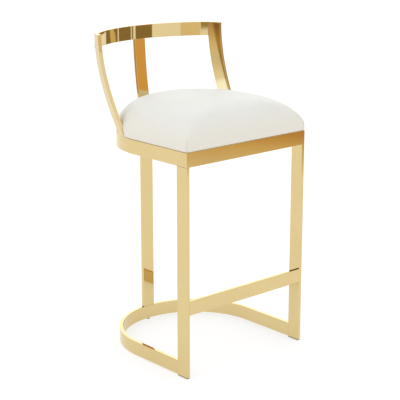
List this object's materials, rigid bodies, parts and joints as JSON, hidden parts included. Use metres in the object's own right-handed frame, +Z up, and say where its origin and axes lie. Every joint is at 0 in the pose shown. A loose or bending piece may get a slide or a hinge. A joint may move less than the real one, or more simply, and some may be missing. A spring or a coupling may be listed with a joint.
{
  "type": "bar stool with footrest",
  "caption": "Counter-height bar stool: polished brass-finish flat-tube frame with U-shaped base, footrest, low barrel back rail and a crowned pale upholstered seat.",
  "frame": {"origin": "on the floor at the centre of the stool's overall width and depth", "axes": "+Z up, -Y is the open front where the sitter's legs go, +X to the right as seen from the front; left and right in node names are as seen from the front"},
  "size_m": [0.458, 0.468, 0.899],
  "materials": {
    "brass": "mirror polished",
    "plywood": "raw plywood",
    "foam": "open-cell foam",
    "leatherette": "soft satin, fine grain",
    "dust_fabric": "non-woven felt",
    "zinc_steel": "zinc plated",
    "glide_plastic": "moulded"
  },
  "bodies": {
    "root": {"base_ring": "brass", "front_leg_left": "brass", "front_leg_right": "brass", "rear_leg": "brass", "footrest": "brass", "seat_front_rail": "brass", "seat_ring": "brass", "side_post_left": "brass", "side_post_right": "brass", "centre_post": "brass", "back_rail": "brass", "tab_front_left": "brass", "tab_front_right": "brass", "tab_rear_left": "brass", "tab_rear_right": "brass", "seat_board": "plywood", "foam_pad": "foam", "seat_cover": "leatherette", "dust_cover": "dust_fabric", "seat_screws": "zinc_steel", "seat_washers": "zinc_steel", "tee_nuts": "zinc_steel", "staples": "zinc_steel", "glide_front_left": "glide_plastic", "glide_front_right": "glide_plastic", "glide_rear": "glide_plastic"}
  },
  "joints": []
}
